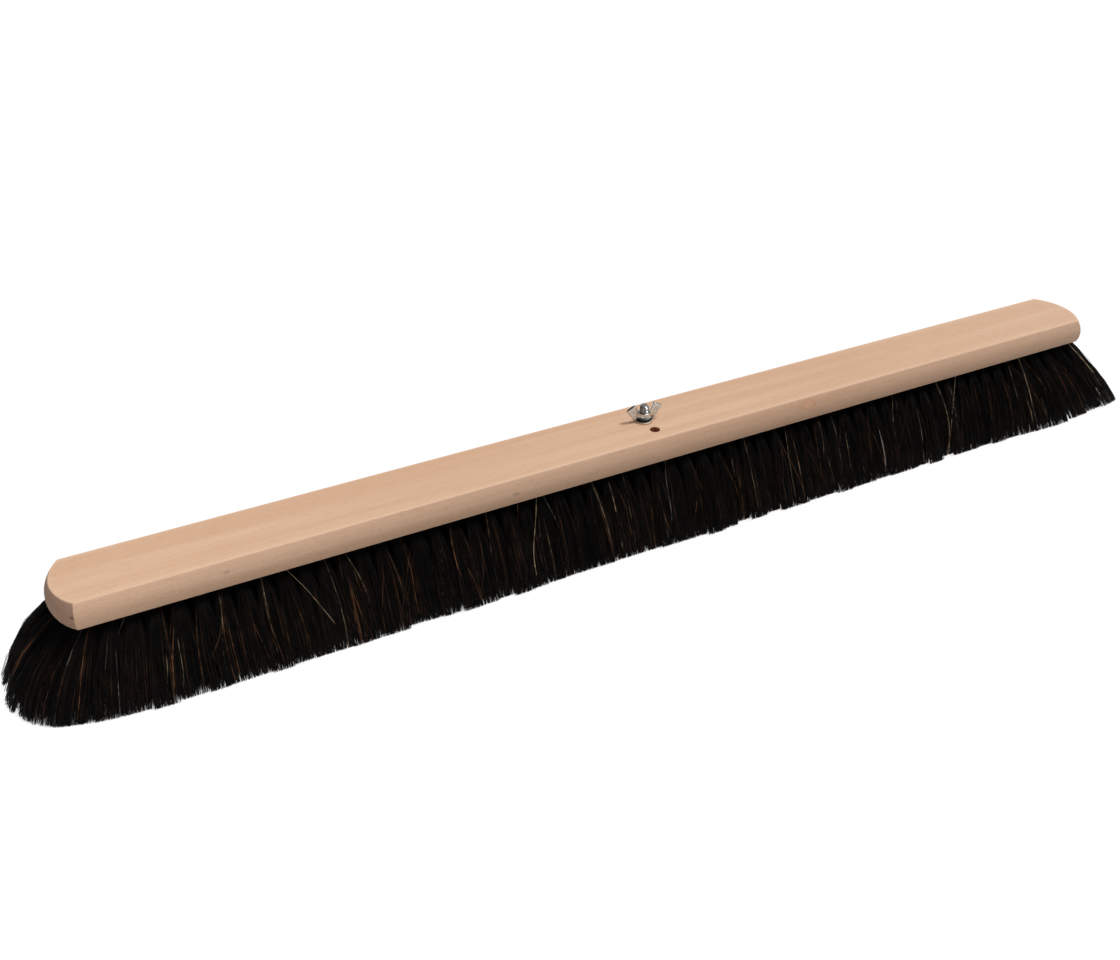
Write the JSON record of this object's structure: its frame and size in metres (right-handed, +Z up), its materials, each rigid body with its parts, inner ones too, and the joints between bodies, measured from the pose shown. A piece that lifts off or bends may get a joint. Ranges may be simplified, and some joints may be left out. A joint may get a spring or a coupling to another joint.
{
  "type": "push broom head",
  "caption": "Wide push broom head: wooden block with rounded ends, rows of outward-spreading dark hair tufts, and an upright carriage bolt with washer and wing nut for a handle bracket.",
  "frame": {"origin": "on the floor under the middle of the head; the trimmed bristle tips stand on z = 0", "axes": "+X along the head, +Y to the back (the side away from the locating hole), +Z up along the bolt"},
  "size_m": [1.082, 0.119, 0.1062],
  "materials": {
    "beech": "satin",
    "hair": "matte",
    "zinc_steel": "satin",
    "anchor_wire": "satin"
  },
  "bodies": {
    "head": {"broom_block": "beech", "carriage_bolt": "zinc_steel", "tuft_row_1": "hair", "tuft_row_2": "hair", "tuft_row_3": "hair", "tuft_row_4": "hair", "tuft_row_5": "hair", "tuft_row_6": "hair", "anchor_row_1": "anchor_wire", "anchor_row_2": "anchor_wire", "anchor_row_3": "anchor_wire", "anchor_row_4": "anchor_wire", "anchor_row_5": "anchor_wire", "anchor_row_6": "anchor_wire"},
    "washer": {"flat_washer": "zinc_steel"},
    "nut": {"wing_nut": "zinc_steel"}
  },
  "joints": [
    {"name": "washer_lift", "type": "slide", "parent": "head", "child": "washer", "axis": [0, 0, 1], "range_m": [0, 0.01001]},
    {"name": "nut_turn", "type": "hinge", "parent": "washer", "child": "nut", "pos_m": [0, 0.003, 0.0916], "axis": [0, 0, 1], "range_deg": [0, 2880]}
  ],
  "couplings": [
    {"joint": "washer_lift", "follows": "nut_turn", "m_per_rad": 0.00019894}
  ]
}
